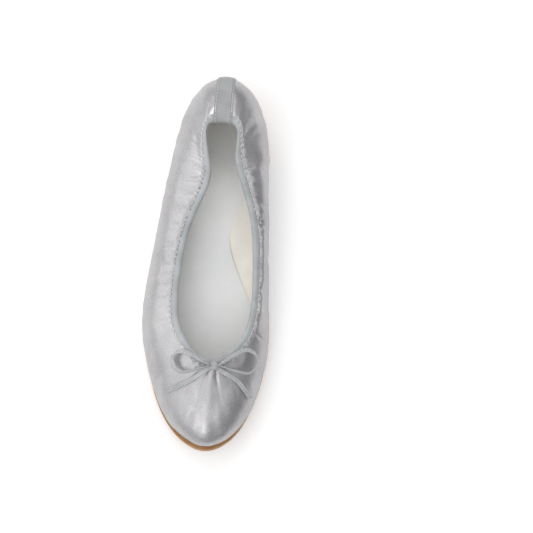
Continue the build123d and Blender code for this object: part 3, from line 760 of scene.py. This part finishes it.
def ruche(s, distance):
    """Small puckers of the tape between its stitches, stronger where the elastic pulls."""
    phase = rim_run(s)
    band = np.clip((distance - 3.2) / 1.2, 0, 1)
    strength = (0.35 + 0.65 * np.clip(gather_strength(s[:, 0]), 0, 1))[:, None]
    jitter = np.array([noise.noise(Vector((p / 7.0, 3.3, 0.0))) for p in phase[:, 0]])[:, None]
    turns = tau * (phase / STITCH_PITCH + jitter)
    ripple = np.cos(turns)
    scallop = np.cos(turns + pi * (distance > 5.6))
    rows = sum(np.exp(-(((distance - back) / 0.55) ** 2)) for back, _ in STITCH_LINES.values())
    return band * (strength * (0.36 * ripple + 0.22 * scallop) - 0.22 * rows)


RIM_S = np.linspace(0, PERIMETER, 1600)
RIM_RUN = distance_run(CURVE.at(RIM_S)[:, 2:5])
RIM_LENGTH = RIM_RUN[-1]


def rim_run(s):
    """Distance along the rim at places round the ring."""
    return np.interp(s, RIM_S, RIM_RUN)


def rim_s(run):
    """Places round the ring at distances along the rim."""
    return np.interp(run, RIM_RUN, RIM_S)


def past_heel(run):
    """0 beside the backstay, rising to 1 where the tape has its full width."""
    return np.clip((np.minimum(run, RIM_LENGTH - run) - 8) / 40, 0, 1)


def build_binding():
    """Folded tape over the topline, narrower beside the backstay."""
    run = np.linspace(HEEL_HALF, RIM_LENGTH - HEEL_HALF, BINDING_ROWS)
    leaf = HEEL_LEAF + (LEAF - HEEL_LEAF) * past_heel(run)
    points, across = tape_section(Wall(rim_s(run)), leaf, np.minimum(leaf, INNER_LEAF), ruche, 0.0, 22)
    binding = grid_object("binding", points, cloth_uv(run, across), flip=True)
    recalc(binding)
    thicken(binding, TAPE * 0.9)
    finish(binding, "binding", "binding_throat", "binding_lateral", "binding_medial")


build_binding()

# ======== stitches
STITCH_SIDES = 6
# share of its length, girth and lift at each ring of a stitch
STITCH_RINGS = [
    (0.0, 0.35, -0.10),
    (0.12, 0.9, 0.05),
    (0.5, 1.1, 0.14),
    (0.88, 0.9, 0.05),
    (1.0, 0.35, -0.10),
]
TOPLINE_THREAD, FINE_THREAD = 0.27, 0.17


def stitch_mesh(name, starts, ends, ups, radius):
    """Many thread stitches as one mesh: each is a short bent tube with round ends."""
    sides, rings = STITCH_SIDES, STITCH_RINGS
    verts, faces = [], []
    for start, end, up in zip(starts, ends, ups):
        along = end - start
        side = unit(np.cross(along, up))
        first = len(verts)
        for share, girth, lift in rings:
            middle = start + along * share + up * lift
            for k in range(sides):
                angle = tau * k / sides
                verts.append((middle + radius * girth * (side * cos(angle) + up * sin(angle))) * MM)
        faces += grid_faces(len(rings), sides, False, True, first)
        faces.append(tuple(first + k for k in range(sides)))
        last = first + (len(rings) - 1) * sides
        faces.append(tuple(last + k for k in reversed(range(sides))))
    obj = new_object(name, verts, faces)
    recalc(obj)
    assign(obj, "thread")
    return obj


def rim_stitches(name, back, slant, length=1.9):
    """A row of stitches through the topline tape, back from the rim and nearer to it beside the backstay."""
    places = np.arange(HEEL_HALF + 3, RIM_LENGTH - HEEL_HALF - 3, STITCH_PITCH)
    reach = back * (0.62 + 0.38 * past_heel(places))
    ends = []
    for shift, tilt in ((-length / 2, -slant), (length / 2, slant)):
        wall = Wall(rim_s(places + shift))
        distance = (reach + tilt)[:, None]
        depth = TAPE_OUT + 0.12 + ruche(wall.s[:, None], distance)
        ends.append(wall.points(wall.back(distance), depth)[:, 0])
    wall = Wall(rim_s(places))
    ups = wall.normals(wall.back(reach[:, None]))[:, 0]
    across_flex(stitch_mesh(name, *ends, ups, TOPLINE_THREAD))


for line, (back, slant) in STITCH_LINES.items():
    rim_stitches("topline_stitches_" + line, back, slant)

# ======== backstay
BACKSTAY_HALF, BACKSTAY_INSIDE, BACKSTAY_PROUD, BACKSTAY_REACH = 6.0, 9.0, 0.45, 38
BACKSTAY_COLUMNS = 37
# x of the strip's middle at the sole and at the rim
LEAN_FROM, LEAN_TO = 2.2, 0.4
# the strip faces forward, inside the shoe, this far from its rearmost point
OVER_RIM = 38


def backstay_grid(half_width, columns):
    """Strip of tape up the heel and over the rim, level across, leaning from the sole to the rim."""
    wall = Wall(np.linspace(-BACKSTAY_REACH, BACKSTAY_REACH, 121))
    long_leaf = wall.run[:, -1] - 1.4
    inside = np.full(len(wall.s), BACKSTAY_INSIDE)
    points, across = tape_section(wall, long_leaf, inside, lambda s, d: np.zeros_like(d), BACKSTAY_PROUD, 44)
    share = np.clip((points[..., 2].mean(axis=0) - 10) / 42, 0, 1)[:, None]
    lines = []
    middle_x = SHIFT[0] + LEAN_FROM + (LEAN_TO - LEAN_FROM) * share
    wanted = middle_x + np.linspace(-half_width, half_width, columns)
    for line, want in zip(points.swapaxes(0, 1), wanted):
        line = line[np.argsort(line[:, 0])]
        lines.append(resample(line, line[:, 0], want))
    return np.stack(lines, axis=1), across.mean(axis=0)


def piped(strip):
    """Raises a cord of tape along both edges of the strip, with a sewn groove inside it."""
    across = np.abs(np.linspace(-BACKSTAY_HALF, BACKSTAY_HALF, len(strip)))
    rise = 0.5 * np.exp(-(((across - 5.3) / 0.5) ** 2)) - 0.35 * np.exp(-(((across - 4.3) / 0.4) ** 2))
    normal = unit(np.cross(np.gradient(strip, axis=0), np.gradient(strip, axis=1)))
    return strip + normal * rise[:, None, None]


def build_backstay():
    strip, along = backstay_grid(BACKSTAY_HALF, BACKSTAY_COLUMNS)
    level = np.linspace(-BACKSTAY_HALF, BACKSTAY_HALF, BACKSTAY_COLUMNS)
    uv = np.stack(np.meshgrid(along, level), axis=2)
    backstay = grid_object("backstay_strip", piped(strip), uv)
    recalc(backstay)
    thicken(backstay, TAPE, bevel=0.12)
    assign(backstay, "backstay_tape")
    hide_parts("backstay")
    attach(backstay, "rear")


def backstay_stitches(side, line, pitch=2.7, length=1.8):
    """A row of stitches up one edge of the backstay and over the rim."""
    line = line[4:]
    travel = distance_run(line)
    marks = np.arange(1.0, travel[-1] - 3, pitch)
    starts, ends = resample(line, travel, marks), resample(line, travel, marks + length)
    away = square_to(np.tile([0.0, 1.0, 0.25], (len(marks), 1)), ends - starts)
    inside = starts[:, 1] < line[:, 1].max() - OVER_RIM
    away[inside] *= -1
    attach(stitch_mesh("backstay_stitches_" + side, starts, ends, away, FINE_THREAD), "rear")


build_backstay()
for side, line in zip(("lateral", "medial"), backstay_grid(BACKSTAY_HALF - 0.9, 2)[0]):
    backstay_stitches(side, line)

# ======== sole stack
FOOTBED = OUTSOLE + GAP + BOARD + GAP
GROOVE_X, GROOVE_LENGTH, GROOVE_PITCH, GROOVES, GROOVE_WIDTH, GROOVE_DEPTH = -4.0, 54.0, 6.0, 8, 1.4, 0.9
# deepest point of the sock's cut-out at the arch, and how sharply and widely it opens
ARCH_X, ARCH_Y, ARCH_BEND, ARCH_SPREAD = 8.0, 17.5, 14.0, 7.2
ARCH_ROWS, ARCH_HALF, ARCH_TUCK, ARCH_WALL_TOP = 90, 62, 4.0, 7.0


# ======== sole stack
def outline(shift, count=480):
    """Edge of a sole layer, this far out from the feather edge or as far as the welt."""
    wall = Wall(np.linspace(0, PERIMETER, count, endpoint=False))
    extra = wall.welt if shift is None else np.full(count, shift)
    return wall.foot + wall.out * extra[:, None] + SHIFT[:2]


def slab_rows(edge, rows):
    """y of each row and the x of the left and right edge there, packed closer at toe and heel."""
    low, high = int(np.argmin(edge[:, 1])), int(np.argmax(edge[:, 1]))
    y0, y1 = edge[low, 1] + 0.02, edge[high, 1] - 0.02
    ys = (y0 + y1) / 2 - (y1 - y0) / 2 * np.cos(np.linspace(0, pi, rows))
    if high > low:
        low, high = high, low
    one = edge[high : low + 1]
    two = np.concatenate([edge[low:], edge[: high + 1]])
    sides = []
    for run in (one, two):
        order = np.argsort(run[:, 1])
        sides.append(np.interp(ys, run[order, 1], run[order, 0]))
    return ys, np.minimum(*sides), np.maximum(*sides)


def slab(name, shift, rise, rows=200, columns=28, right_limit=None, shape=None):
    """Sheet over a sole outline at a height above the sole's underside."""
    ys, left, right = slab_rows(outline(shift), rows)
    if right_limit is not None:
        right = np.minimum(right, right_limit(ys))
    t = (1 - np.cos(np.linspace(0, pi, columns))) / 2
    x = left[:, None] + (right - left)[:, None] * t[None, :]
    y = np.tile(ys[:, None], (1, columns))
    z = underside(y - SHIFT[1]) + rise
    if shape is not None:
        z = z + shape(x, y, t[None, :])
    return grid_object(name, np.stack([x, y, z], axis=2), np.stack([x, y], axis=2), flip=True)


def groove_cutter():
    """Bars across the tread, to be cut from the outsole."""
    verts, faces = [], []
    middle_y = (SPRING_START_Y + TREAD_END_Y) / 2
    half = np.array([GROOVE_LENGTH / 2, GROOVE_WIDTH / 2, GROOVE_DEPTH])
    corners = [half * (a, b, c) for a in (-1, 1) for b in (-1, 1) for c in (-1, 1)]
    quads = ((0, 1, 3, 2), (4, 6, 7, 5), (0, 4, 5, 1), (2, 3, 7, 6), (0, 2, 6, 4), (1, 5, 7, 3))
    for k in range(GROOVES):
        centre = SHIFT + (GROOVE_X, middle_y + (k - (GROOVES - 1) / 2) * GROOVE_PITCH, 0)
        first = len(verts)
        verts += [(centre + corner) * MM for corner in corners]
        faces += [tuple(first + q for q in quad) for quad in quads]
    cutter = new_object("groove_cutter", verts, faces, False)
    recalc(cutter)
    return cutter


def build_outsole():
    outsole = slab("outsole", None, OUTSOLE)
    thicken(outsole, OUTSOLE, bevel=0.7, segments=3)
    cutter = groove_cutter()
    cut = outsole.modifiers.new("grooves", "BOOLEAN")
    cut.operation, cut.object, cut.solver = "DIFFERENCE", cutter, "EXACT"
    apply_modifiers(outsole)
    bpy.data.objects.remove(cutter, do_unlink=True)
    finish(outsole, "outsole", "outsole_forefoot", "outsole_rear")


def arch_cut(y):
    """Right edge of the sock where it is cut away at the arch."""
    dy = (y - SHIFT[1] - ARCH_Y) / ARCH_BEND
    return SHIFT[0] + ARCH_X + ARCH_SPREAD * (np.sqrt(1 + dy**2) - 1)


def arch_hollow(x, y, t):
    """The cushion is skived thinner where the sock is cut away."""
    beyond = np.clip((x - arch_cut(y)) / 4.0 + 1.5, -1, 1)
    return -0.5 * (beyond + 1)


def build_cushion():
    cushion = slab("cushion", LINING_IN - 0.4, FOOTBED + CUSHION, shape=arch_hollow)
    thicken(cushion, CUSHION, bevel=0.3)
    finish(cushion, "cushion", "cushion_forefoot", "cushion_rear")


def footbed(x, y, t):
    """Slight rise of the sock towards the walls."""
    return 0.35 * np.abs(2 * t - 1) ** 6


def build_sock():
    sock = slab("sock", LINING_IN + 0.4, FOOTBED + CUSHION + GAP + SOCK, 260, 36, arch_cut, footbed)
    thicken(sock, SOCK, bevel=0.2)
    finish(sock, "sock", "sock_forefoot", "sock_rear")


def arch_cover_grid():
    """Lining sheet that comes out from under the sock's cut edge and turns up the medial wall."""
    wall = Wall(np.linspace(side_s(ARCH_Y - ARCH_HALF, False), side_s(ARCH_Y + ARCH_HALF, False), ARCH_ROWS))
    depth = LINING_IN - 0.35
    floor_z = FOOTBED + CUSHION + underside(wall.foot[:, 1]) + 0.3
    grid = np.linspace(0.1, 0.9, 160)
    face = wall.points(np.tile(grid, (ARCH_ROWS, 1)), depth)
    low_v = np.array([[np.interp(z, line[:, 2], grid)] for z, line in zip(floor_z, face)])
    corner = wall.points(low_v, depth)[:, 0]
    inner_x = np.minimum(arch_cut(corner[:, 1]) - ARCH_TUCK, corner[:, 0] - 1.0)
    reach = np.clip((corner[:, 0] - inner_x) / np.clip(wall.out[:, 0], 0.4, 1), 1.0, None)
    inward = np.concatenate([-wall.out, np.zeros((ARCH_ROWS, 1))], axis=1)
    turn = np.minimum(5.0, 0.8 * reach)
    top_v = wall.back(ARCH_WALL_TOP)
    turned_v = np.minimum(low_v + 0.09, top_v)
    turned = wall.points(turned_v, depth)[:, 0]
    flat = [corner + inward * (turn + (reach - turn) * share)[:, None] for share in np.linspace(1, 0, 8)]
    turning = np.linspace(0, 1, 7)[1:]
    fillet = [flat[-1] * (1 - u) ** 2 + 2 * corner * u * (1 - u) + turned * u**2 for u in turning]
    rising = [turned_v * (1 - share) + top_v * share for share in np.linspace(0, 1, 10)[1:]]
    return np.stack(flat + fillet + [wall.points(v, depth)[:, 0] for v in rising], axis=1)


def build_arch_cover():
    points = arch_cover_grid()
    cover = grid_object("arch_cover", points, points[..., 1:3])
    recalc(cover)
    thicken(cover, 0.3, 0.0)
    finish(cover, "lining", "arch_pad")


build_outsole()
build_cushion()
build_sock()
build_arch_cover()

# ======== bow
BOW_TAPE, BOW_WIDTH = 0.55, 3.1
JOINTS = {joint["name"]: joint for joint in frame["record"]["behaviour"]["joints"]}
UP = np.array([0, 0, 1.0])
# places round the section of a folded tape, in widths and thicknesses
HALF_SECTION = [(-0.5, 0.0), (-0.46, 0.42), (-0.2, 0.5), (0.2, 0.5), (0.46, 0.42)]
TAPE_SECTION = HALF_SECTION + [(-x, -y) for x, y in HALF_SECTION]


def joint_place(name):
    return np.array(JOINTS[name]["pos_m"]) / MM


def level_direction(heading):
    return np.array([cos(radians(heading)), sin(radians(heading)), 0])


def smooth_path(points, count):
    """Catmull-Rom curve through control points, evenly sampled, and the distance along it."""
    points = np.asarray(points, float)
    padded = np.concatenate([[2 * points[0] - points[1]], points, [2 * points[-1] - points[-2]]])
    out = []
    for a, b, c, d in zip(padded, padded[1:], padded[2:], padded[3:]):
        for t in np.linspace(0, 1, 24, endpoint=False):
            bend = (2 * a - 5 * b + 4 * c - d) * t**2 + (3 * b - a - 3 * c + d) * t**3
            out.append(0.5 * (2 * b + (c - a) * t + bend))
    out = np.array([*out, points[-1]])
    run = distance_run(out[:, :3])
    want = np.linspace(0, run[-1], count)
    return resample(out, run, want), want


def ribbon(name, path, across, run, slant=0.0):
    """Folded tape along a path: a flat tube, slightly crowned, with closed ends."""
    tangent = unit(np.gradient(path, axis=0))
    across = square_to(across, tangent)
    face = np.cross(tangent, across)
    ribs = 1 + 0.05 * np.sin(run * 9.0)[:, None]
    cut_end = np.arange(len(path))[:, None] >= len(path) - 3
    columns = []
    for x, y in TAPE_SECTION:
        corner = across * x * BOW_WIDTH + face * y * BOW_TAPE * ribs
        columns.append(path + corner + tangent * slant * x * cut_end)
    uv = cloth_uv(run, np.array([x * BOW_WIDTH for x, _ in TAPE_SECTION]))
    obj = grid_object(name, np.stack(columns, axis=1), uv, wrap_columns=True)
    recalc(obj, close=True)
    assign(obj, "bow_tape")
    return obj, across, face


def tape_stitches(name, path, across, face, run, side, last):
    """Two lines of running stitches on a ribbon's upper face, this far to each side of its middle."""
    face = np.sign(face[:, 2:3]) * face
    marks = np.arange(4.0, last, 2.1)
    starts, ends, ups = [], [], []
    for offset in (-side, side):
        line = path + across * offset + face * (BOW_TAPE / 2 + 0.02)
        starts.append(resample(line, run, marks))
        ends.append(resample(line, run, marks + 1.25))
        ups.append(resample(face, run, marks))
    return stitch_mesh(name, *(np.concatenate(parts) for parts in (starts, ends, ups)), FINE_THREAD)


def bend_at_root(piece):
    """Bakes a loop's or tail's transform into its mesh; it does not bend it at the knot."""
    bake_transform(piece)


def tilted(tilt, side):
    """Direction across a tape that leans from upright towards a level direction."""
    return UP * np.cos(np.radians(tilt)) + side * np.sin(np.radians(tilt))


def make_loop(side, heading, droop, length, width):
    """Loop of tape on its edge: flat on the heel strand, upright at the far bend, half turned in front."""
    root = joint_place("loop_" + side + "_lift")
    along = level_direction(heading)
    heelward = np.array([-along[1], along[0], 0])
    heelward = heelward * (1 if heelward[1] > 0 else -1)
    half = width / 2
    # along, towards the heel, lift, tilt
    shape = [
        (-2.6, 0.5, 0.2, 25),
        (0.3, 0.9, 0.2, 40),
        (0.38 * length, 0.70 * half, 0.6, 66),
        (0.72 * length, half, 0.2, 58),
        (0.93 * length, 0.62 * half, -0.3, 30),
        (length, 0.0, -0.5, 12),
        (0.92 * length, -0.62 * half, -0.4, 14),
        (0.70 * length, -0.98 * half, -0.2, 26),
        (0.38 * length, -0.66 * half, -0.1, 32),
        (0.3, -0.9, -0.3, 20),
        (-2.6, -0.5, -0.3, 20),
    ]
    table, run = smooth_path(shape, 120)
    ahead, aside, lift, tilt = table.T[:, :, None]
    fall = np.tan(radians(droop)) * np.clip(ahead, 0, None)
    path = root + along * ahead + heelward * aside + UP * (lift - fall)
    out = unit(table[:, :2] - (0.6 * length, 0.0))
    level = along * out[:, 0:1] + heelward * out[:, 1:2]
    obj, across, face = ribbon("bow_loop_tape_" + side, path, tilted(tilt, -level), run)
    row = tape_stitches("bow_loop_stitches_" + side, path, across, face, run, 0.75, 0.42 * run[-1])
    for piece in (obj, row):
        bend_at_root(piece)
    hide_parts("bow_loop_" + side)


def make_tail(side, heading, length, middle_drop, tip_drop, turn):
    """Tail of tape that lies flat and follows the fall of the vamp, cut on a slant."""
    root = joint_place("tail_" + side + "_lift")
    along = level_direction(heading)
    aside = np.array([-along[1], along[0], 0])
    # along, to the side, lift
    shape = [
        (-3.0, 0.0, 0.6),
        (0.0, 0.0, 0.0),
        (0.25 * length, turn * 0.6, -0.42 * middle_drop),
        (0.5 * length, turn, -middle_drop),
        (0.78 * length, turn * 0.55, -0.66 * tip_drop),
        (length, 0.0, -tip_drop),
    ]
    table, run = smooth_path(shape, 90)
    path = root + table @ np.stack([along, aside, UP])
    obj, across, face = ribbon("bow_tail_tape_" + side, path, np.tile(aside, (len(path), 1)), run, 1.6)
    row = tape_stitches("bow_tail_stitches_" + side, path, across, face, run, 0.85, run[-1] - 2.4)
    for piece in (obj, row):
        bend_at_root(piece)
    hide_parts("bow_tail_" + side)


KNOT_HALF, KNOT_DEPTH, KNOT_HEIGHT, KNOT_LIFT = 2.35, 3.0, 2.1, 2.6


def make_knot():
    """Tape wrapped round the middle of the bow: a soft rounded block with folds drawn in at its edges."""
    seat = joint_place("bow_swivel")
    up = unit(np.array(JOINTS["bow_swivel"]["axis"]))
    side = unit(np.cross(np.array([0, -1.0, 0]), up))
    front = np.cross(up, side)
    rows, columns = 48, 33
    grid = np.empty((rows, columns, 3))
    for i in range(rows):
        angle = tau * i / rows
        ahead, rise = (np.sign(c) * abs(c) ** 0.7 for c in (cos(angle), sin(angle)))
        ring = front * ahead * KNOT_DEPTH + up * rise * KNOT_HEIGHT
        for j in range(columns):
            flat = pi * (j / (columns - 1) - 0.5)
            x, girth = np.sign(sin(flat)) * abs(sin(flat)) ** 0.6, max(cos(flat), 0.0) ** 0.35
            crease = 1 + 0.05 * sin(3.2 * pi * x + 0.6 * sin(2 * angle)) * girth
            grid[i, j] = seat + up * KNOT_LIFT + side * x * KNOT_HALF + ring * girth * crease
    uv = np.stack(np.meshgrid(np.linspace(0, 16, rows), np.linspace(0, 5, columns), indexing="ij"), axis=2)
    knot = grid_object("bow_knot_wrap", grid, uv, wrap_rows=True)
    recalc(knot, merge=1e-6)
    assign(knot, "bow_tape")
    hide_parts("bow_knot")
    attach(knot, "bow")


make_knot()
make_loop("lateral", 177.0, 13.0, 24.8, 14.0)
make_loop("medial", 9.0, 15.0, 24.8, 15.4)
make_tail("lateral", 213.0, 31.2, 5.5, 13.0, 1.0)
make_tail("medial", -41.0, 28.8, 7.1, 16.9, 2.6)

# ======== elastic
ELASTIC_BACK = 2.1
ELASTIC_CORNERS = [(-1.2, 0.35), (1.2, 0.35), (1.2, -0.35), (-1.2, -0.35)]


def build_elastic():
    """Flat elastic inside the topline tape."""
    run = np.linspace(HEEL_HALF, RIM_LENGTH - HEEL_HALF, 360)
    wall = Wall(rim_s(run))
    edges = [wall.points(wall.back(ELASTIC_BACK + back), CORE + depth) for back, depth in ELASTIC_CORNERS]
    points = np.concatenate(edges, axis=1)
    elastic = grid_object("elastic", points, cloth_uv(run, np.arange(4.0)), wrap_columns=True)
    recalc(elastic)
    finish(elastic, "elastic", "elastic_throat", "elastic_collar")


build_elastic()

# ======== carried-over nodes
HIDDEN_NODES = ("insole_board_forefoot", "insole_board_rear", "shank", "toe_puff", "heel_counter", "bow_tack")
SLOTS = {part["node"]: part["material_slot"] for part in frame["record"]["subparts"]}
for node in ("heel_lift", "heel_top_piece", *HIDDEN_NODES):
    mesh = frame["nodes"][node].data
    mesh.materials.clear()
    mesh.materials.append(MATERIALS[SLOTS[node]])


# ======== stage, light and camera
def build_floor():
    """White floor that the camera sees a little brighter than it is lit."""
    floor = new_object("floor", [(-3, -3, 0), (3, -3, 0), (3, 3, 0), (-3, 3, 0)], [(0, 1, 2, 3)], False)
    floor.location.z = -0.0005
    paint = Shader("stage_paint", Roughness=0.95)
    paint.bsdf.inputs["Base Color"].default_value = (0.93, 0.93, 0.93, 1)
    paint.bsdf.inputs["Emission Color"].default_value = WHITE
    seen = paint.node("ShaderNodeLightPath").outputs["Is Camera Ray"]
    paint.link(paint.math("MULTIPLY", seen, 0.22), paint.bsdf.inputs["Emission Strength"])
    floor.data.materials.append(paint.material)


def build_lamp(name, place, size, energy):
    """Area light that faces the slipper."""
    light = bpy.data.lights.new(name, "AREA")
    light.shape, light.energy = "RECTANGLE", energy
    light.size, light.size_y = size
    lamp = bpy.data.objects.new(name, light)
    lamp.location = place
    lamp.rotation_euler = (-Vector(place)).to_track_quat("-Z", "Y").to_euler()
    bpy.context.scene.collection.objects.link(lamp)


def build_world(strength=0.95):
    """Studio surround, bright overhead and to the left, grey low on the right."""
    world = bpy.data.worlds.new("studio")
    bpy.context.scene.world = world
    world.use_nodes = True
    tree = world.node_tree
    background = tree.nodes["Background"]
    split, leftward, shade = (
        tree.nodes.new(kind) for kind in ("ShaderNodeSeparateXYZ", "ShaderNodeMath", "ShaderNodeValToRGB")
    )
    dark, light = shade.color_ramp.elements
    dark.position, dark.color = 0.0, (0.16, 0.16, 0.17, 1)
    light.position, light.color = 0.85, WHITE
    leftward.operation = "MULTIPLY_ADD"
    leftward.inputs[1].default_value = -0.42
    tree.links.new(tree.nodes.new("ShaderNodeTexCoord").outputs["Generated"], split.inputs[0])
    tree.links.new(split.outputs["X"], leftward.inputs[0])
    tree.links.new(split.outputs["Z"], leftward.inputs[2])
    tree.links.new(leftward.outputs[0], shade.inputs["Fac"])
    tree.links.new(shade.outputs["Color"], background.inputs["Color"])
    background.inputs["Strength"].default_value = strength


def build_camera():
    """Camera that looks straight down, a little to the medial side, as in the photo."""
    lens = bpy.data.cameras.new("camera")
    lens.sensor_width, lens.lens = 36.0, 127.0
    camera = bpy.data.objects.new("camera", lens)
    camera.location = ((33.7 + SHIFT[0]) * MM, SHIFT[1] * MM, 1.27)
    camera.rotation_euler = (0, 0, radians(3.03))
    bpy.context.scene.collection.objects.link(camera)
    bpy.context.scene.camera = camera


build_floor()
build_lamp("key", (-0.90, 0.10, 0.90), (1.0, 1.4), 1.4)
build_lamp("fill", (0.9, -0.2, 0.9), (0.5, 0.8), 0.6)
build_lamp("top", (-0.15, 0.95, 1.05), (0.9, 0.4), 4.4)
build_lamp("front", (-0.25, -1.0, 0.8), (0.25, 0.3), 1.2)
build_world()
build_camera()
bpy.context.scene.view_settings.view_transform = "Standard"
